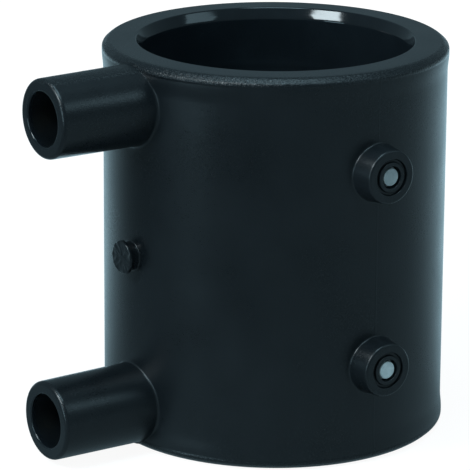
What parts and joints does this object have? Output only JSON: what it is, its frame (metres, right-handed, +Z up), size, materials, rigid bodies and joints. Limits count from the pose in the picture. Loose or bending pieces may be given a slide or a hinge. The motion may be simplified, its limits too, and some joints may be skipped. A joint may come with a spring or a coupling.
{
  "type": "electrofusion coupler",
  "caption": "Black polyethylene electrofusion coupler with a socket at each end, shrouded terminals and fusion indicators.",
  "frame": {"origin": "where the sleeve's axis meets the lower end face", "axes": "+Z up the sleeve's axis, the terminal shrouds point to -X, the indicator bosses to -Y"},
  "size_m": [0.1075, 0.0883, 0.095],
  "materials": {
    "black_polyethylene": "satin, fine moulded grain",
    "indicator_plastic": "satin",
    "contact_brass": "turned, satin",
    "resistance_wire": "drawn"
  },
  "bodies": {
    "root": {"coupler_body": "black_polyethylene", "heating_coil": "resistance_wire", "lower_terminal_pin": "contact_brass", "upper_terminal_pin": "contact_brass", "lower_indicator_pin": "indicator_plastic", "upper_indicator_pin": "indicator_plastic"}
  },
  "joints": []
}
